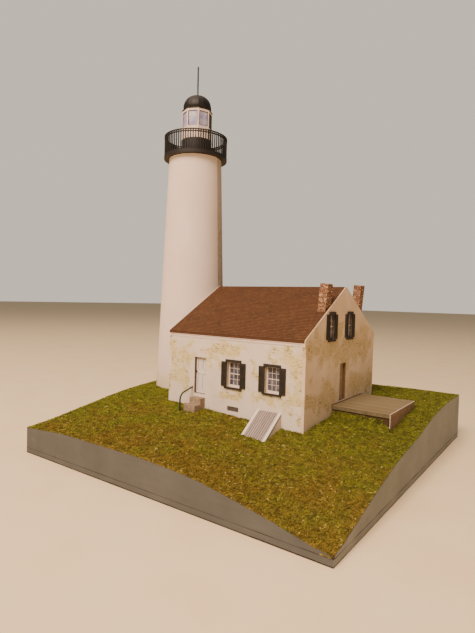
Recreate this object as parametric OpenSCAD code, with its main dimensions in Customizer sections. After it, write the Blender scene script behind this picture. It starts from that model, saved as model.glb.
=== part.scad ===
// Card model of a lighthouse and its keeper's house on a small landscape plinth, 1:87.
// Millimetres, +Z up. The origin is the middle of the base board's underside, +X runs
// along the house front towards the porch deck, and the house front faces -Y.

/* [Plinth] */
// Length of the base board, along the house front
board_x = 206; // [200:1:250]
// Depth of the base board
board_y = 223; // [215:1:270]
// Thickness of the base board
board_t = 3.2; // [2:0.2:5]
// Thickness of the card strips that close the landform's sides
strip_t = 0.8; // [0.4:0.1:1.2]

/* [House] */
// Length of the house front, over the gable cards
house_x = 103; // [85:1:112]
// Depth of the house, over its front and back walls
house_y = 106; // [88:1:112]
// Gap from the board's left edge to the left gable
house_left = 52; // [50:1:54]
// Gap from the board's front edge to the house front
house_front = 71.5; // [66:0.5:76]
// Thickness of the wall card
wall_t = 2; // [1.2:0.1:2.4]
// Height of the ground floor above the table
floor_z = 37.3; // [36:0.1:40]
// Height of the storey, from the ground floor to the eaves
storey_h = 39.4; // [38:0.2:47]
// Rise of the roof, from the eaves to the ridge
roof_rise = 31.8; // [26:0.2:38]
// Thickness of the roof card
roof_t = 1.2; // [0.8:0.1:1.8]
// How far the eaves stand out from the walls
eave_out = 0.9; // [0.6:0.1:1.8]
// Height of the cornice under the eaves
cornice_h = 3.6; // [2.4:0.1:4.4]

/* [Doors and windows] */
// Width of a door opening
door_w = 9.4; // [8:0.1:11.2]
// Height of a door opening
door_h = 23.6; // [20:0.2:28]
// Width of a window opening in the front and back walls
window_w = 10.2; // [8.6:0.1:12.2]
// Width of an attic window opening in the gable
attic_window_w = 7; // [5.8:0.1:8.4]
// Height of every window opening
window_h = 16; // [13:0.2:18]
// Width of one shutter
shutter_w = 4; // [3.2:0.1:4.8]

/* [Tower] */
// Radius of the tower at ground level
tower_r = 26.9; // [22.5:0.1:27]
// Radius of the tower under the gallery
tower_top_r = 20.4; // [17:0.1:21]
// Height of the gallery's underside above the table
tower_top_z = 206; // [180:1:247]
// Thickness of the tower's card shell
shell_t = 1; // [0.6:0.1:1.4]
// Radius of the gallery deck
gallery_r = 24.4; // [23:0.1:29]
// Height of the gallery railing
railing_h = 15.4; // [13:0.2:18.4]
// Number of railing balusters
baluster_count = 80; // [66:1:90]
// Radius of the lantern, to its corners
lantern_r = 11.7; // [9.8:0.1:14]
// Height of the lantern windows
pane_h = 11; // [9:0.2:13.2]
// Length of the spire above the dome
spire_h = 23; // [19:0.5:28]

/* [Steps, hatch and deck] */
// Width of the stone steps
step_w = 9; // [7.5:0.1:10.8]
// Width of the cellar hatch
hatch_w = 16.4; // [13.8:0.2:19.6]
// How far the cellar hatch reaches from the wall
hatch_out = 17.5; // [15:0.5:20]
// Length of the porch deck, out from the gable
deck_x = 36; // [30:1:44]
// Width of the porch deck along the gable
deck_y = 49.5; // [42:0.5:58]

/* [Hidden] */
$fn = 96;

fit = 0.1;        // clearance where one card piece is let into another
face_t = 0.5;     // gable facing left showing at the verge
lip = 0.3;        // how far the gable facing stands above the roof card
floor_t = 1.2;    // floor cards
frame_t = 0.5;    // window frame cards
pane_t = 0.3;     // printed pane cards
touch = 0.02;     // between cards glued face to face
cut = 1;          // how far a cutter runs past what it cuts

// House planes
x0 = -board_x / 2 + house_left;
x1 = x0 + house_x;
y0 = -board_y / 2 + house_front;
y1 = y0 + house_y;
ridge_y = (y0 + y1) / 2;
foot_z = 22;
eave_z = floor_z + storey_h;
ridge_z = eave_z + roof_rise;
pitch = atan(roof_rise / (house_y / 2 + eave_out));
roof_drop = roof_t / cos(pitch);
function roof_top(y) = ridge_z - abs(y - ridge_y) * tan(pitch);
function roof_under(y) = roof_top(y) - roof_drop;

// Openings, by the middle of each along its wall
front_door_x = x0 + 27.4;
window_right_x = x1 - 21.2;
window_left_x = front_door_x + 0.49 * (window_right_x - front_door_x);
front_window_xs = [window_left_x, window_right_x];
window_z = floor_z + 7.1;
gable_door_y = ridge_y - 1.4;
gable_door_z = floor_z - 1;
attic_window_ys = [ridge_y - 0.192 * house_y, ridge_y + 0.068 * house_y];
lap = 0.6;        // how far a door or window card laps the opening behind the wall
attic_floor_z = floor_z + 36.7;
attic_window_z = attic_floor_z + 1.4;
vent_w = 8.6;
vent_h = 3.1;
vent_z = floor_z - 7.6;

// Tower
tower_let_in = 2.9;   // depth to which the tower is let into the left gable at its foot
ground_z = 30;
tower_x = x0 - tower_r + tower_let_in;
tower_y = ridge_y - 3.5;
tower_foot_z = 24;
lantern_off = [0.4, 0.3]; // the lantern is glued on a little off the middle
tower_slope = (tower_r - tower_top_r) / (tower_top_z - ground_z);
function tower_radius(z) = tower_r - tower_slope * (z - ground_z);
gallery_t = 1.8;
gallery_z = tower_top_z + gallery_t;
railing_z = gallery_z + railing_h;
rail_w = 0.8;
drum_h = 13.2;
lantern_z = gallery_z + drum_h;
lantern_turn = 0.5;   // the lantern is glued on a little off square
pane_sill = 9.4;      // white wall below the lantern windows
lantern_head = 1.6;   // white band above them
lantern_top_z = lantern_z + pane_sill + pane_h + lantern_head;
lantern_wall_t = 0.8;
roof_plate_t = 0.8;
dome_r = lantern_r * 0.928;
dome_skirt = 2.8;
shoulder_r = 9;       // radius to which the dome is rounded above its skirt
dome_z = lantern_top_z + roof_plate_t;
crown_z = dome_z + dome_skirt + shoulder_r;

// Steps, hatch and deck
step_top_z = floor_z - 2.1;
step_drop = 3.8;
step_depths = [4.6, 5.4];
step_foot_z = 24;
rail_r = 0.55;
rail_x = front_door_x - step_w / 2 - 1.6;
rail_bend_r = 5;
rail_bend = 75;
rail_y = y0 - 11.9;
rail_bend_z = floor_z - 3.3;
hatch_x = x1 - 22.6;
hatch_top_z = floor_z - 2.8;
hatch_toe_z = floor_z - 15.6;
hatch_side_t = 1.2;
hatch_door_t = 1;
hatch_rail_w = 1.7;
hatch_rail_t = 0.6;
hatch_foot_z = 18;
deck_z = floor_z - 2.2;
deck_t = 2.2;
deck_gap = 0.4;
deck_y_mid = ridge_y + 7.8;
skirt_t = 1.2;
skirt_in = 0.8;

// Spot heights of the landform, as a 7 by 7 grid from the front left corner of the board.
// Each row runs along X and the rows go from front to back.
SPOTS = [
    [15.5, 18.0, 18.4, 18.4, 16.4, 10.8, 4.2],
    [21.2, 22.4, 23.2, 22.6, 18.8, 16.0, 12.2],
    [27.6, 28.8, 29.0, 27.6, 25.8, 25.0, 19.8],
    [31.0, 31.2, 30.8, 30.0, 29.2, 27.2, 23.8],
    [31.4, 31.6, 31.4, 31.2, 31.0, 30.4, 29.6],
    [31.0, 31.4, 31.4, 31.4, 31.4, 31.6, 31.8],
    [30.8, 31.0, 31.0, 30.8, 30.8, 31.4, 31.4]];
LAST = len(SPOTS) - 1;
CELLS = 22;

// Smooth curve through b and c, with a and d as their outer neighbours
function through(a, b, c, d, t) = b + t * (c - a + t * (2 * a - 5 * b + 4 * c - d
    + t * (3 * b - a - 3 * c + d))) / 2;
function held(i) = max(0, min(LAST, i));
function spot_row(row, i, t) = through(row[held(i - 1)], row[i], row[held(i + 1)],
    row[held(i + 2)], t);
function spot_at(u, v) = let (
    i = min(LAST - 1, floor(u * LAST)), j = min(LAST - 1, floor(v * LAST)),
    s = u * LAST - i, t = v * LAST - j)
    through(spot_row(SPOTS[held(j - 1)], i, s), spot_row(SPOTS[j], i, s),
        spot_row(SPOTS[held(j + 1)], i, s), spot_row(SPOTS[held(j + 2)], i, s), t);

// Height of the landform at a place on the board
function ground(x, y) = spot_at(x / board_x + 0.5, y / board_y + 0.5);

// Shared shapes

// A flat outline in Y and Z, run along X
module along_x(from, length) {
    translate([from, 0, 0]) rotate([90, 0, 90]) linear_extrude(length) children();
}

// A flat outline in X and Z, run along Y
module along_y(from, length) {
    translate([0, from + length, 0]) rotate([90, 0, 0]) linear_extrude(length) children();
}

// Everything inside the tower's outer face, with a clearance
module tower_body(gap) {
    h = tower_top_z - tower_foot_z;
    translate([tower_x, tower_y, tower_foot_z])
        cylinder(h = h, r1 = tower_radius(tower_foot_z) + gap, r2 = tower_top_r + gap);
}

// Puts a piece in the front wall's plane, or turned into the back wall's
module on_front() { translate([0, y0, 0]) children(); }
module on_back() { translate([0, y1, 0]) mirror([0, 1, 0]) children(); }
// Puts a piece made for a wall that faces -Y on the right gable
module on_gable(y) { translate([x1, y, 0]) rotate([0, 0, 90]) children(); }

module opening(x, z, w, h) {
    translate([x - w / 2, -cut, z]) cube([w, wall_t + 2 * cut, h]);
}

// Frame card glued behind the wall card, round its opening
module window_frame(x, z, w) {
    border = 0.9;
    foot = 1.5;
    translate([x, wall_t + touch, z]) difference() {
        translate([-w / 2 - lap, 0, -lap]) cube([w + 2 * lap, frame_t, window_h + 2 * lap]);
        translate([-w / 2 + border, -cut, foot])
            cube([w - 2 * border, frame_t + 2 * cut, window_h - foot - border]);
    }
}

module window_pane(x, z, w) {
    translate([x - w / 2 - lap, wall_t + frame_t + 2 * touch, z - lap])
        cube([w + 2 * lap, pane_t, window_h + 2 * lap]);
}

// Two shutters with the head board and the sill board, glued flat on the wall
module shutter_set(x, z, w) {
    board_t = 0.6;
    over = 0.7;
    for (side = [-1, 1])
        translate([x + side * (w + shutter_w) / 2 - shutter_w / 2, -board_t, z + 0.4])
            cube([shutter_w, board_t, window_h - 0.7]);
    translate([x - w / 2 - over, -1.5 * board_t, z + window_h - 0.3])
        cube([w + 2 * over, 1.5 * board_t, 1.6]);
    translate([x - w / 2 - 2 * over, -1.8 * board_t, z - 0.8])
        cube([w + 4 * over, 1.8 * board_t, 1.1]);
}

// Door card glued behind the wall card. foot is how far it stands above the opening's foot.
// Its panels and knob keep their places on a leaf of the usual height.
module door_leaf(x, z, foot) {
    stile = 1.3;
    leaf_t = 0.9;
    panel_t = 0.25;
    panels = [[1.7, 10.8], [15.3, 6.9]];
    knob_r = 0.55;
    knob_z = 14.1;
    tall = door_h / 23.6;
    panel_w = (door_w - 3 * stile) / 2;
    translate([x - door_w / 2, wall_t + touch, z]) {
        difference() {
            translate([-lap, 0, foot]) cube([door_w + 2 * lap, leaf_t, door_h + lap - foot]);
            for (k = [0, 1], p = panels)
                translate([stile + k * (panel_w + stile), -cut, p[0] * tall])
                    cube([panel_w, cut + panel_t, p[1] * tall]);
        }
        translate([stile / 2, 0, knob_z * tall]) sphere(knob_r, $fn = 24);
    }
}

// Plinth

module base_board() {
    color("#857565") translate([-board_x / 2, -board_y / 2, 0]) cube([board_x, board_y, board_t]);
}

// One three-sided column of the terrain, from the base board up to three spot heights
module column(corners) {
    flat = [for (p = corners) [p[0], p[1], board_t]];
    hull() polyhedron(concat(flat, corners),
        [[0, 1, 2], [5, 4, 3], [0, 3, 4, 1], [1, 4, 5, 2], [2, 5, 3, 0]]);
}

// The terrain as a grid of columns, two to a cell
module terrain() {
    wide = board_x - 2 * strip_t;
    deep = board_y - 2 * strip_t;
    function spot(i, j) = [wide * (i / CELLS - 0.5), deep * (j / CELLS - 0.5),
        spot_at(i / CELLS, j / CELLS)];
    for (i = [0:CELLS - 1], j = [0:CELLS - 1]) {
        column([spot(i, j), spot(i, j + 1), spot(i + 1, j + 1)]);
        column([spot(i, j), spot(i + 1, j + 1), spot(i + 1, j)]);
    }
}

module landform() {
    color("#8A7A20") difference() {
        terrain();
        translate([x0, y0, foot_z]) cube([house_x, house_y, 60]);
        tower_body(fit);
        step_blocks();
        along_x(hatch_x - hatch_w / 2, hatch_w) hatch_outline(-10);
        deck_skirt_block(0);
    }
}

// Top outline of a strip, along the landform's edge
function edge_line(length, from, to) = [for (k = [0:CELLS])
    [-length / 2 + length * k / CELLS, spot_at(from[0] + (to[0] - from[0]) * k / CELLS,
        from[1] + (to[1] - from[1]) * k / CELLS)]];

module strip_outline(length, from, to) {
    polygon(concat([[-length / 2, board_t]], edge_line(length, from, to),
        [[length / 2, board_t]]));
}

module front_edge_strip() {
    color("#857565") along_y(-board_y / 2, strip_t) strip_outline(board_x, [0, 0], [1, 0]);
}

module back_edge_strip() {
    color("#857565") along_y(board_y / 2 - strip_t, strip_t)
        strip_outline(board_x, [0, 1], [1, 1]);
}

module left_edge_strip() {
    color("#857565") along_x(-board_x / 2, strip_t)
        strip_outline(board_y - 2 * strip_t, [0, 0], [0, 1]);
}

module right_edge_strip() {
    color("#857565") along_x(board_x / 2 - strip_t, strip_t)
        strip_outline(board_y - 2 * strip_t, [1, 0], [1, 1]);
}

// House shell

// A long wall between the gable cards, with its top bevelled to the roof's slope
module long_wall() {
    along_x(x0 + wall_t, house_x - 2 * wall_t)
        polygon([[0, foot_z], [wall_t, foot_z], [wall_t, roof_under(y0 + wall_t)],
            [0, roof_under(y0)]]);
}

module front_wall() {
    color("#D5C3B6") on_front() difference() {
        long_wall();
        opening(front_door_x, floor_z, door_w, door_h);
        for (x = front_window_xs) opening(x, window_z, window_w, window_h);
        opening(window_left_x, vent_z, vent_w, vent_h);
    }
}

module back_wall() {
    color("#D5C3B6") on_back() difference() {
        long_wall();
        for (x = front_window_xs) opening(x, window_z, window_w, window_h);
    }
}

// The gable card's outline, below the roof card or up to its face
module gable_outline(raised) {
    top = raised ? lip : -roof_drop;
    out = eave_out;
    polygon([[y0, foot_z], [y1, foot_z], [y1, eave_z - cornice_h], [y1 + out, eave_z - cornice_h],
        [y1 + out, eave_z + top], [ridge_y, ridge_z + top], [y0 - out, eave_z + top],
        [y0 - out, eave_z - cornice_h], [y0, eave_z - cornice_h]]);
}

module gable_card(x, outer) {
    along_x(x, wall_t) gable_outline(false);
    along_x(outer, face_t) gable_outline(true);
}

module right_gable_wall() {
    color("#AD8F68") difference() {
        gable_card(x1 - wall_t, x1 - face_t);
        on_gable(gable_door_y) opening(0, gable_door_z, door_w, door_h);
        for (y = attic_window_ys)
            on_gable(y) opening(0, attic_window_z, attic_window_w, window_h);
    }
}

module left_gable_wall() {
    color("#D5C3B6") difference() {
        gable_card(x0, x0);
        tower_body(fit);
    }
}

module floor_card(z) {
    difference() {
        translate([x0 + wall_t, y0 + wall_t, z - floor_t])
            cube([house_x - 2 * wall_t, house_y - 2 * wall_t, floor_t]);
        tower_body(fit);
    }
}

module ground_floor() { color("#B8A890") floor_card(floor_z); }
module attic_floor() { color("#B8A890") floor_card(attic_floor_z); }

// Half of the roof, as seen from the front
module roof_slab() {
    eave_y = y0 - eave_out;
    along_x(x0 + face_t, house_x - 2 * face_t)
        polygon([[eave_y, roof_top(eave_y)], [ridge_y, ridge_z], [ridge_y, ridge_z - roof_drop],
            [eave_y, roof_under(eave_y)]]);
}

module front_roof() {
    color("#84522F") difference() {
        roof_slab();
        tower_body(fit);
    }
}

module back_roof() {
    color("#84522F") difference() {
        translate([0, 2 * ridge_y, 0]) mirror([0, 1, 0]) roof_slab();
        tower_body(fit);
    }
}

// Boxed cornice between the ears of the gable cards
module cornice() {
    top = roof_under(y0 - eave_out) - eave_z;
    along_x(x0 + wall_t, house_x - 2 * wall_t)
        translate([0, eave_z]) polygon([[0, -cornice_h + 0.4], [-0.35, -cornice_h + 0.4],
            [-0.35, -cornice_h + 1.4], [-0.8, -cornice_h + 1.9], [-0.8, top], [0, top]]);
}

module front_cornice() { color("#DED0C4") on_front() cornice(); }
module back_cornice() { color("#DED0C4") on_back() cornice(); }

// A brick stack that stands on one slope, leans a little outwards and has an open flue
module chimney(y, top_z) {
    wide = 5;
    deep = 7;
    lean = 5;
    from_gable = 4.1;
    sunk = 8;
    flue_wall = 0.8;
    flue_h = 8;
    out = 20;
    top = top_z - roof_top(y);
    difference() {
        translate([x1 - from_gable, y, roof_top(y)]) rotate([0, lean, 0]) difference() {
            translate([-wide / 2, -deep / 2, -sunk]) cube([wide, deep, top + sunk]);
            translate([-wide / 2 + flue_wall, -deep / 2 + flue_wall, top - flue_h])
                cube([wide - 2 * flue_wall, deep - 2 * flue_wall, flue_h + cut]);
        }
        along_x(x1 - out, 2 * out) polygon([[y0, 0], [y1, 0], [y1, roof_top(y1)],
            [ridge_y, ridge_z], [y0, roof_top(y0)]]);
    }
}

module front_chimney() { color("#B8683C") chimney(ridge_y - 23.3, ridge_z + 1.2); }
module back_chimney() { color("#B8683C") chimney(ridge_y + 28, ridge_z + 2.2); }

// Doors and windows

module front_door() { color("#DCCFC4") on_front() door_leaf(front_door_x, floor_z, fit); }
module gable_door() {
    color("#C8AE8C") on_gable(gable_door_y)
        door_leaf(0, gable_door_z, floor_z - gable_door_z + fit);
}

module front_window_frames() {
    color("#E4DAD2") on_front() for (x = front_window_xs) window_frame(x, window_z, window_w);
}

module back_window_frames() {
    color("#E4DAD2") on_back() for (x = front_window_xs) window_frame(x, window_z, window_w);
}

module attic_window_frames() {
    color("#E4DAD2") for (y = attic_window_ys)
        on_gable(y) window_frame(0, attic_window_z, attic_window_w);
}

module window_panes() {
    color("#4A4A58") {
        on_front() for (x = front_window_xs) window_pane(x, window_z, window_w);
        on_back() for (x = front_window_xs) window_pane(x, window_z, window_w);
        for (y = attic_window_ys) on_gable(y) window_pane(0, attic_window_z, attic_window_w);
    }
}

module front_shutters() {
    color("#4A4030") on_front() for (x = front_window_xs) shutter_set(x, window_z, window_w);
}

module back_shutters() {
    color("#4A4030") on_back() for (x = front_window_xs) shutter_set(x, window_z, window_w);
}

module attic_shutters() {
    color("#4A4030") for (y = attic_window_ys)
        on_gable(y) shutter_set(0, attic_window_z, attic_window_w);
}

// Slatted vent card set back in its opening
module cellar_vent() {
    slats = 4;
    slat_h = 0.3;
    slat_out = 0.4;
    back_t = 0.6;
    wide = vent_w - 2 * fit;
    color("#6A6058") on_front() translate([window_left_x - wide / 2, wall_t / 2, vent_z]) {
        translate([0, 0, fit]) cube([wide, back_t, vent_h - 2 * fit]);
        for (k = [1:slats])
            translate([0, -slat_out, k * vent_h / (slats + 1) - slat_h / 2])
                cube([wide, slat_out + fit, slat_h]);
    }
}

// Steps, hatch and deck

module step_blocks() {
    for (k = [0, 1]) {
        near = k == 0 ? 0 : step_depths[0];
        top = step_top_z - k * step_drop;
        translate([front_door_x - step_w / 2, y0 - near - step_depths[k], step_foot_z])
            cube([step_w, step_depths[k], top - step_foot_z]);
    }
}

module front_steps() { color("#B09A80") step_blocks(); }

// Middle line of the bent wire, in Y and Z: up from the ground, round a bend and on to the wall
RAIL_STEPS = 8;
rail_bend_at = [for (k = [0:RAIL_STEPS]) let (a = rail_bend * k / RAIL_STEPS)
    [rail_y + rail_bend_r * (1 - cos(a)), rail_bend_z + rail_bend_r * sin(a), a]];
rail_run = y0 - rail_bend_at[RAIL_STEPS][0];
rail_line = concat([[rail_y, ground(rail_x, rail_y) + fit, 0]], rail_bend_at,
    [[y0, rail_bend_at[RAIL_STEPS][1] + rail_run / tan(rail_bend), rail_bend]]);

module handrail() {
    sides = 10;
    last = len(rail_line) - 1;
    // The last ring is cut flat, to lie on the wall
    rings = [for (k = [0:last], s = [0:sides - 1]) let (p = rail_line[k], a = 360 * s / sides)
        [rail_x + rail_r * cos(a),
            p[0] + (k == last ? 0 : rail_r * sin(a) * cos(p[2])),
            p[1] - rail_r * sin(a) * (k == last ? 1 / sin(p[2]) : sin(p[2]))]];
    skin = [for (k = [0:last - 1], s = [0:sides - 1], half = [0, 1]) let (
        a = k * sides + s, b = k * sides + (s + 1) % sides)
        half == 0 ? [a, a + sides, b + sides] : [a, b + sides, b]];
    ends = [[for (s = [0:sides - 1]) s], [for (s = [sides - 1:-1:0]) last * sides + s]];
    color("#1E3A20") polyhedron(rings, concat(skin, ends));
}

// A strip that follows the hatch's slope, with its top lowered by some depth
module hatch_slope(depth, thick) {
    polygon([[y0 - hatch_out, hatch_toe_z - depth], [y0, hatch_top_z - depth],
        [y0, hatch_top_z - depth - thick], [y0 - hatch_out, hatch_toe_z - depth - thick]]);
}

// Side outline of the hatch, down to its foot in the ground, with its top lowered
module hatch_outline(depth) {
    polygon([[y0 - hatch_out, hatch_foot_z], [y0, hatch_foot_z], [y0, hatch_top_z - depth],
        [y0 - hatch_out, hatch_toe_z - depth]]);
}

module hatch_sides() {
    color("#C4AE94") for (side = [0, 1])
        along_x(hatch_x - hatch_w / 2 + side * (hatch_w - hatch_side_t), hatch_side_t)
            hatch_outline(hatch_rail_t + hatch_door_t);
}

module hatch_door() {
    color("#B5A095") along_x(hatch_x - hatch_w / 2, hatch_w)
        hatch_slope(hatch_rail_t, hatch_door_t);
}

module hatch_rails() {
    color("#E0CCB8") for (side = [0, 1])
        along_x(hatch_x - hatch_w / 2 + side * (hatch_w - hatch_rail_w), hatch_rail_w)
            hatch_slope(0, hatch_rail_t);
}

module deck_boards() {
    color("#8F7A58") translate([x1 + deck_gap, deck_y_mid - deck_y / 2, deck_z - deck_t])
        cube([deck_x - deck_gap, deck_y, deck_t]);
}

// The skirt's block, less some thickness all round
module deck_skirt_block(less) {
    w = deck_x - deck_gap - skirt_in - 2 * less;
    d = deck_y - 2 * (skirt_in + less);
    translate([x1 + deck_gap + less, deck_y_mid - d / 2, foot_z - less])
        cube([w, d, deck_z - deck_t - foot_z + 2 * less]);
}

module deck_skirt() {
    color("#5A4632") difference() {
        deck_skirt_block(0);
        deck_skirt_block(skirt_t);
    }
}

// Tower

module tower_shaft() {
    h = tower_top_z - tower_foot_z;
    foot_r = tower_radius(tower_foot_z);
    color("#DDCDC0") translate([tower_x, tower_y, tower_foot_z]) rotate_extrude()
        polygon([[foot_r - shell_t, 0], [foot_r, 0], [tower_top_r, h],
            [tower_top_r - shell_t, h]]);
}

module at_tower(z) { translate([tower_x, tower_y, z]) children(); }
module at_lantern(z) {
    translate([tower_x + lantern_off[0], tower_y + lantern_off[1], z]) children();
}

module gallery_deck() {
    color("#2A2420") at_tower(tower_top_z) cylinder(h = gallery_t, r = gallery_r);
}

module railing_ring(z, h) {
    at_tower(z) rotate_extrude() translate([gallery_r - rail_w, 0]) square([rail_w, h]);
}

module gallery_railing() {
    ring_h = 0.7;
    mid_drop = 2.2;
    bar_w = 0.8;
    bar_t = 0.5;
    bar_let_in = 0.3;
    color("#1E1A18") union() {
        railing_ring(gallery_z, ring_h);
        railing_ring(railing_z - mid_drop, ring_h);
        railing_ring(railing_z - ring_h, ring_h);
        for (k = [0:baluster_count - 1])
            at_tower(gallery_z) rotate([0, 0, k * 360 / baluster_count])
                translate([gallery_r - (rail_w + bar_t) / 2, -bar_w / 2, bar_let_in])
                    cube([bar_t, bar_w, railing_h - 2 * bar_let_in]);
    }
}

module lantern_drum() {
    color("#1E1A18") at_lantern(gallery_z) difference() {
        cylinder(h = drum_h, r = lantern_r);
        translate([0, 0, -cut]) cylinder(h = drum_h + 2 * cut, r = lantern_r - shell_t);
    }
}

// An eight-sided block with its corners at the lantern's angles
module octagon(r, h) {
    rotate([0, 0, lantern_turn]) cylinder(h = h, r = r, $fn = 8);
}

module lantern_frame() {
    flat_r = lantern_r * cos(22.5);
    side = 2 * lantern_r * sin(22.5);
    post = 0.75;
    through = 4;
    color("#E8DDD4") at_lantern(lantern_z) difference() {
        octagon(lantern_r, lantern_top_z - lantern_z);
        translate([0, 0, -cut])
            octagon(lantern_r - lantern_wall_t, lantern_top_z - lantern_z + 2 * cut);
        for (k = [0:7])
            rotate([0, 0, lantern_turn + 22.5 + 45 * k])
                translate([flat_r - through / 2, -side / 2 + post, pane_sill])
                    cube([through, side - 2 * post, pane_h]);
    }
}

// A folded strip of eight panes just inside the frame
module lantern_panes() {
    outer = lantern_r - lantern_wall_t - fit;
    pane_strip_t = 0.4;
    over = 1;
    color("#A9A8BE") at_lantern(lantern_z + pane_sill - over) difference() {
        octagon(outer, pane_h + 2 * over);
        translate([0, 0, -cut]) octagon(outer - pane_strip_t, pane_h + 2 * (over + cut));
    }
}

module lantern_roof() {
    eave = 0.3;
    color("#2A2622") at_lantern(lantern_top_z) octagon(lantern_r + eave, roof_plate_t);
}

// Half outline of the dome, with its shoulder rounded about one centre, less some thickness
module dome_outline(less) {
    top_r = dome_r - shoulder_r;
    translate([top_r, dome_skirt]) circle(shoulder_r - less);
    square([dome_r - less, dome_skirt]);
    square([top_r, dome_skirt + shoulder_r - less]);
}

module dome() {
    color("#1E1A18") at_lantern(dome_z) rotate_extrude() intersection() {
        square([dome_r, dome_skirt + shoulder_r]);
        difference() {
            dome_outline(0);
            dome_outline(shell_t);
        }
    }
}

module spire() {
    bead_r = 1.1;
    bead_h = 0.6;
    wire_r = 0.65;
    color("#14323C") at_lantern(crown_z) union() {
        cylinder(h = bead_h, r = bead_r, $fn = 32);
        cylinder(h = spire_h, r = wire_r, $fn = 32);
    }
}

base_board();
landform();
front_edge_strip();
right_edge_strip();
back_edge_strip();
left_edge_strip();
front_wall();
back_wall();
right_gable_wall();
left_gable_wall();
ground_floor();
attic_floor();
front_roof();
back_roof();
front_cornice();
back_cornice();
front_chimney();
back_chimney();
front_door();
gable_door();
front_window_frames();
back_window_frames();
attic_window_frames();
window_panes();
front_shutters();
back_shutters();
attic_shutters();
cellar_vent();
front_steps();
handrail();
hatch_sides();
hatch_door();
hatch_rails();
deck_boards();
deck_skirt();
tower_shaft();
gallery_deck();
gallery_railing();
lantern_drum();
lantern_frame();
lantern_panes();
lantern_roof();
dome();
spire();
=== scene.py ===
"""Looks of the card model lighthouse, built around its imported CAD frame.

The sections follow the model as its maker glues it up: plinth, turf, house, doors and windows,
steps, hatch and deck, tower, lantern, and last the table, the lights and the camera.
"""
import math

import bpy
import numpy as np
from mathutils import Matrix, Vector
from mathutils.bvhtree import BVHTree


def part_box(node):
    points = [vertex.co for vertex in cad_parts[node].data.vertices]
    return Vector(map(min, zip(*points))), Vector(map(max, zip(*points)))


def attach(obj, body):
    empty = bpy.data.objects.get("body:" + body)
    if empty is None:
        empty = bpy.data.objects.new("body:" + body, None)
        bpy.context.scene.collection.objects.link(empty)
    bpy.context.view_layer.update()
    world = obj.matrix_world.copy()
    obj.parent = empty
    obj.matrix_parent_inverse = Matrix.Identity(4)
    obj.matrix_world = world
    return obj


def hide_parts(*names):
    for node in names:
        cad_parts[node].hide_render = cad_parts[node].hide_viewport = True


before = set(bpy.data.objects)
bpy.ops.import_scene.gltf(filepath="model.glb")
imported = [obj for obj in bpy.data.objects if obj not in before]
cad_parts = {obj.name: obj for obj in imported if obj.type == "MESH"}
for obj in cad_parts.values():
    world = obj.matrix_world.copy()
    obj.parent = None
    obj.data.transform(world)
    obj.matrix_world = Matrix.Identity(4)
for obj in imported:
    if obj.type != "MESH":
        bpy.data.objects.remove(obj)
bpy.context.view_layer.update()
MM = 0.001

# ----------
# Plinth: a rectangle of thin hardboard with four strips of card glued round it on edge. All of
# it is brushed with one grey emulsion paint, which dries matt with faint streaks and pale rubs.


def linear(shade):
    """Linear colour of an sRGB hex value."""
    parts = [int(shade[k:k + 2], 16) / 255 for k in (1, 3, 5)]
    return [c / 12.92 if c <= 0.04045 else ((c + 0.055) / 1.055) ** 2.4 for c in parts] + [1]


def feed(node, inputs):
    """Links or sets the inputs of a node, given by name or, in a tuple, in the node's order."""
    for key, value in inputs.items() if isinstance(inputs, dict) else enumerate(inputs):
        if isinstance(value, bpy.types.NodeSocket):
            node.id_data.links.new(value, node.inputs[key])
        else:
            node.inputs[key].default_value = value


def add(tree, kind, inputs, out=0, stops=(), **settings):
    """Adds a node with its settings and links, and returns the output that is used."""
    node = tree.nodes.new("ShaderNode" + kind)
    for name, value in settings.items():
        setattr(node, name, value)
    for k, (position, shade) in enumerate(stops):
        stop = node.color_ramp.elements[k] if k < 2 else node.color_ramp.elements.new(position)
        stop.position = position
        stop.color = linear(shade)
    feed(node, inputs)
    return node.outputs[out]


def surface(name, roughness, **inputs):
    """A material, its node tree, its shader and the place of each point in metres."""
    material = bpy.data.materials.new(name)
    material.use_nodes = True
    tree = material.node_tree
    shader = tree.nodes["Principled BSDF"]
    feed(shader, {"Roughness": roughness, **inputs})
    return material, tree, shader, add(tree, "TexCoord", {}, out="Object")


def card(name, shades, roughness=0.85, mottle=9.0, fibre=0.5, depth=0.03):
    """Printed or painted card. Its shade wanders over mottle mm, and its fibres, drawn a few
    times coarser than paper's 0.1 mm so that they show, give it a soft tooth."""
    material, tree, shader, place = surface(name, roughness)
    wander = add(tree, "TexNoise", {"Vector": place, "Scale": 1 / (mottle * MM), "Detail": 6,
        "Roughness": 0.6})
    stops = [(0.32 + 0.36 * k / (len(shades) - 1), s) for k, s in enumerate(shades)]
    colour = add(tree, "ValToRGB", {"Fac": wander}, stops=stops)
    tooth = add(tree, "TexNoise", {"Vector": place, "Scale": 1 / (fibre * MM), "Detail": 3})
    normal = add(tree, "Bump", {"Height": tooth, "Strength": 0.5, "Distance": depth * MM})
    feed(shader, {"Base Color": colour, "Normal": normal})
    return material, tree, shader, place, colour


def dress(material, *nodes):
    """Gives CAD nodes their material."""
    for node in nodes:
        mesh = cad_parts[node].data
        mesh.materials.clear()
        mesh.materials.append(material)


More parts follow.
